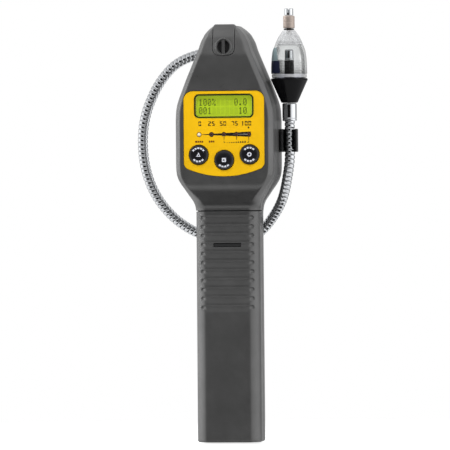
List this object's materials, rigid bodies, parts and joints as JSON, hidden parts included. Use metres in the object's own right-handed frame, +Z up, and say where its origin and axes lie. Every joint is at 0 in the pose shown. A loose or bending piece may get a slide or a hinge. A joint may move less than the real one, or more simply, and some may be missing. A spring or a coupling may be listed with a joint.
{
  "type": "portable gas detector",
  "caption": "Hand-held gas detector with a battery grip, a keyed display head and a gooseneck sensor probe stowed in a side clip.",
  "frame": {"origin": "centre line of the grip on its bottom face, 6 mm forward of the grip's parting line", "axes": "+Z up along the body from grip to nose, -Y the way the display faces, +X the side that carries the stow clip and probe"},
  "size_m": [0.1292, 0.0647, 0.3163],
  "materials": {
    "housing_plastic": "fine moulded texture",
    "black_plastic": "smooth",
    "key_rubber": "satin",
    "yellow_plate": "printed satin film",
    "bezel_black": "gloss",
    "window_clear": "clear",
    "lcd": "reflective panel",
    "lamp_green": "tinted clear",
    "lamp_red": "tinted clear",
    "board": "solder mask",
    "steel": "satin",
    "chrome_hose": "bright",
    "cell_jacket": "printed jacket",
    "guard_clear": "translucent",
    "seal_rubber": "matt"
  },
  "bodies": {
    "instrument": {"alarm_lamp_1": "lamp_red", "alarm_lamp_2": "lamp_red", "alarm_lamp_3": "lamp_red", "alarm_lamp_4": "lamp_red", "battery_cell_1": "cell_jacket", "battery_cell_2": "cell_jacket", "battery_cell_3": "cell_jacket", "battery_contact_bottom": "steel", "battery_contact_top": "steel", "battery_spring": "steel", "battery_tray": "black_plastic", "bulkhead": "black_plastic", "case_screw_1": "steel", "case_screw_2": "steel", "case_screw_3": "steel", "case_screw_4": "steel", "clip_screw": "steel", "display_bezel": "bezel_black", "display_board": "board", "display_window": "window_clear", "faceplate": "yellow_plate", "front_housing": "housing_plastic", "gland_nut": "chrome_hose", "gooseneck_base": "chrome_hose", "lcd_frame": "steel", "lcd_glass": "lcd", "main_board": "board", "mount_screw_1": "steel", "mount_screw_2": "steel", "neck_mount": "housing_plastic", "nose_insert": "housing_plastic", "ready_lamp": "lamp_green", "rear_housing": "housing_plastic", "sounder": "black_plastic", "stow_clip": "black_plastic", "tact_switch_a": "black_plastic", "tact_switch_b": "black_plastic", "tact_switch_c": "black_plastic"},
    "grip_cover": {"battery_cover": "housing_plastic"},
    "latch": {"cover_latch": "black_plastic"},
    "key_a": {"button_a": "key_rubber"},
    "key_b": {"button_b": "key_rubber"},
    "key_c": {"button_c": "key_rubber"},
    "neck_low": {"gooseneck_low": "chrome_hose"},
    "neck_mid": {"gooseneck_mid": "chrome_hose"},
    "neck_high": {"gooseneck_high": "chrome_hose"},
    "probe": {"gooseneck_tip": "chrome_hose", "ferrule": "chrome_hose", "sensor_cone": "black_plastic", "sensor_socket": "black_plastic", "sensor_can": "steel"},
    "guard": {"cone_ring": "guard_clear", "sensor_guard": "guard_clear", "guard_o_ring": "seal_rubber", "inlet_collar": "steel", "inlet_tip": "chrome_hose"}
  },
  "joints": [
    {"name": "key_a_press", "type": "slide", "parent": "instrument", "child": "key_a", "axis": [0, 1, 0], "range_m": [0, 0.0008]},
    {"name": "key_b_press", "type": "slide", "parent": "instrument", "child": "key_b", "axis": [0, 1, 0], "range_m": [0, 0.0008]},
    {"name": "key_c_press", "type": "slide", "parent": "instrument", "child": "key_c", "axis": [0, 1, 0], "range_m": [0, 0.0008]},
    {"name": "latch_press", "type": "hinge", "parent": "instrument", "child": "latch", "pos_m": [0, -0.0086, 0.165], "axis": [1, 0, 0], "range_deg": [0, 4.2]},
    {"name": "cover_slide", "type": "slide", "parent": "instrument", "child": "grip_cover", "axis": [0, 0, -1], "range_m": [0, 0.17]},
    {"name": "neck_bend_low", "type": "hinge", "parent": "instrument", "child": "neck_low", "pos_m": [0.0282, 0.0233, 0.162], "axis": [1, 0, 0], "range_deg": [0, 20]},
    {"name": "neck_bend_mid", "type": "hinge", "parent": "neck_low", "child": "neck_mid", "pos_m": [0.0378, 0.0125, 0.1765], "axis": [1, 0, 0], "range_deg": [0, 20]},
    {"name": "neck_bend_high", "type": "hinge", "parent": "neck_mid", "child": "neck_high", "pos_m": [0.043, 0.0046, 0.1947], "axis": [1, 0, 0], "range_deg": [0, 20]},
    {"name": "probe_tilt", "type": "hinge", "parent": "neck_high", "child": "probe", "pos_m": [0.045, 0.002, 0.231], "axis": [0, 1, 0], "range_deg": [0, 30]},
    {"name": "guard_lift", "type": "slide", "parent": "probe", "child": "guard", "axis": [0, 0, 1], "range_m": [0, 0.03]}
  ],
  "couplings": [
    {"joint": "neck_bend_mid", "follows": "neck_bend_low", "ratio": 1},
    {"joint": "neck_bend_high", "follows": "neck_bend_low", "ratio": 1}
  ]
}
